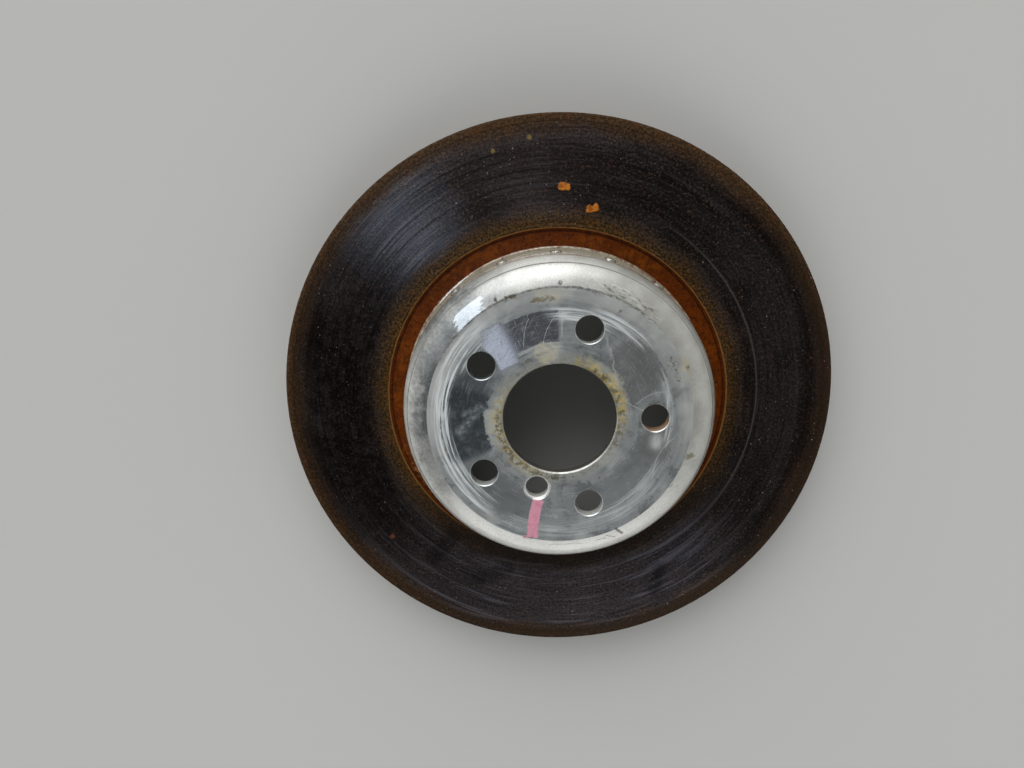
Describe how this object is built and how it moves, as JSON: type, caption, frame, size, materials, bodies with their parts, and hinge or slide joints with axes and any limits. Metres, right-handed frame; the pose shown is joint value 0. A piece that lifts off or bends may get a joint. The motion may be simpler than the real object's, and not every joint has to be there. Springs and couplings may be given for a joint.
{
  "type": "two-piece ventilated brake disc",
  "caption": "Ventilated iron friction ring pinned to a bell-shaped aluminium hat with a hub bore, wheel-bolt holes and a set-screw hole.",
  "frame": {"origin": "on the disc's axis, in the plane of the hat's back face, which sits on the hub", "axes": "+Z along the disc's axis, outboard towards the wheel; one wheel-bolt hole lies on +X"},
  "size_m": [0.348, 0.348, 0.073],
  "materials": {
    "iron": "worn friction faces with fine concentric scoring, rust on the rim, step and collar",
    "hat_alloy": "satin skin with a scuffed, turned wheel face",
    "pin_steel": "plain stainless heads"
  },
  "bodies": {
    "root": {"friction_ring": "iron", "hat": "hat_alloy", "joint_pins": "pin_steel"}
  },
  "joints": []
}
